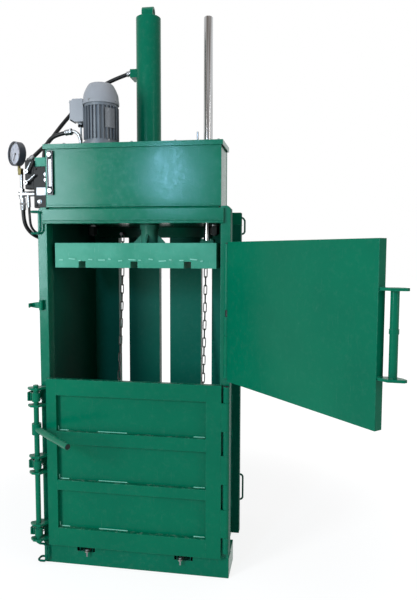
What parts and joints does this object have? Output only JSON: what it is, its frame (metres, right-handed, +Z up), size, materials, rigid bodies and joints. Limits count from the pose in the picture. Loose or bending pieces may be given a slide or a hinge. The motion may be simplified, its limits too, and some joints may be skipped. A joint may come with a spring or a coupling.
{
  "type": "recycling baler",
  "caption": "Upright hydraulic press with a swinging loading door, bale door, platen and strap chains for baling waste paper.",
  "frame": {"origin": "centre of the base's footprint on the floor", "axes": "+Z up; +Y from the doors to the back; +X to the right of someone facing the doors"},
  "size_m": [1.7408, 1.3739, 2.69],
  "materials": {
    "black": "satin black",
    "brass": "turned brass",
    "cable": "grey sheath",
    "cast": "machined cast iron",
    "chrome": "ground chrome",
    "dial": "printed dial",
    "glass": "clear",
    "green": "gloss enamel",
    "grey": "satin paint",
    "hose": "matt rubber",
    "steel": "bare steel",
    "zinc": "zinc plated"
  },
  "bodies": {
    "frame": {"base_frame": "green", "chains": "zinc", "chamber_floor": "green", "cylinder_barrel": "green", "cylinder_beams": "green", "cylinder_gland": "cast", "fan_cover": "grey", "frame_bolts": "zinc", "frame_knuckles": "green", "front_beam": "green", "front_posts": "green", "gauge_case": "black", "gauge_dial": "dial", "gauge_glass": "glass", "gauge_stem": "brass", "guide_clamp": "zinc", "guide_sleeve": "green", "hinge_pins": "zinc", "hose_drain": "hose", "hose_fittings": "zinc", "hose_lift": "hose", "hose_press": "hose", "hose_tank": "hose", "level_frame": "black", "level_glass": "dial", "lock_keepers": "green", "motor_body": "grey", "motor_cable": "cable", "pipe_column": "zinc", "pump": "cast", "rear_crosshead": "green", "rear_wall": "green", "rod_loops": "green", "side_walls": "green", "steel_pipes": "zinc", "tank": "green", "tank_lid": "green", "terminal_box": "grey", "valve_block": "black", "valve_bracket": "green"},
    "platen": {"platen": "green", "platen_socket": "green", "guide_rod": "chrome", "piston_rod": "chrome"},
    "lower_door": {"lower_door_sheet": "green", "lower_door_frame": "green", "lower_door_fittings": "green"},
    "lock": {"lock_shaft": "green", "lock_lever": "green"},
    "upper_door": {"upper_door": "green", "upper_door_fittings": "green", "handle_bar": "green"},
    "catch": {"door_catch": "green"},
    "valve_lever_1": {"valve_lever_1": "zinc"},
    "valve_lever_2": {"valve_lever_2": "zinc"},
    "needle": {"gauge_needle": "black"},
    "rotor": {"motor_rotor": "steel", "motor_fan": "black"}
  },
  "joints": [
    {"name": "platen_stroke", "type": "slide", "parent": "frame", "child": "platen", "axis": [0, 0, -1], "range_m": [0, 0.8]},
    {"name": "lower_door_hinge", "type": "hinge", "parent": "frame", "child": "lower_door", "pos_m": [0.438, -0.3553, 0.5], "axis": [0, 0, 1], "range_deg": [0, 150]},
    {"name": "lock_shaft_turn", "type": "hinge", "parent": "lower_door", "child": "lock", "pos_m": [-0.454, -0.386, 0.5], "axis": [0, 0, 1], "range_deg": [-100, 24]},
    {"name": "upper_door_hinge", "type": "hinge", "parent": "frame", "child": "upper_door", "pos_m": [0.438, -0.3553, 1.24], "axis": [0, 0, 1], "range_deg": [-131.6, 45]},
    {"name": "catch_swing", "type": "hinge", "parent": "frame", "child": "catch", "pos_m": [-0.434, -0.354, 1.251], "axis": [0, 0, 1], "range_deg": [0, 27]},
    {"name": "valve_lever_1_turn", "type": "hinge", "parent": "frame", "child": "valve_lever_1", "pos_m": [-0.529, -0.282, 1.875], "axis": [0, 1, 0], "range_deg": [-30, 30]},
    {"name": "valve_lever_2_turn", "type": "hinge", "parent": "frame", "child": "valve_lever_2", "pos_m": [-0.532, -0.282, 1.824], "axis": [0, 1, 0], "range_deg": [-20, 30]},
    {"name": "gauge_needle_turn", "type": "hinge", "parent": "frame", "child": "needle", "pos_m": [-0.603, -0.248, 1.965], "axis": [-0.5592, -0.829, 0], "range_deg": [-250, 10]},
    {"name": "motor_spin", "type": "hinge", "parent": "frame", "child": "rotor", "pos_m": [-0.172, -0.24, 2], "axis": [0, 0, 1], "continuous": true}
  ]
}
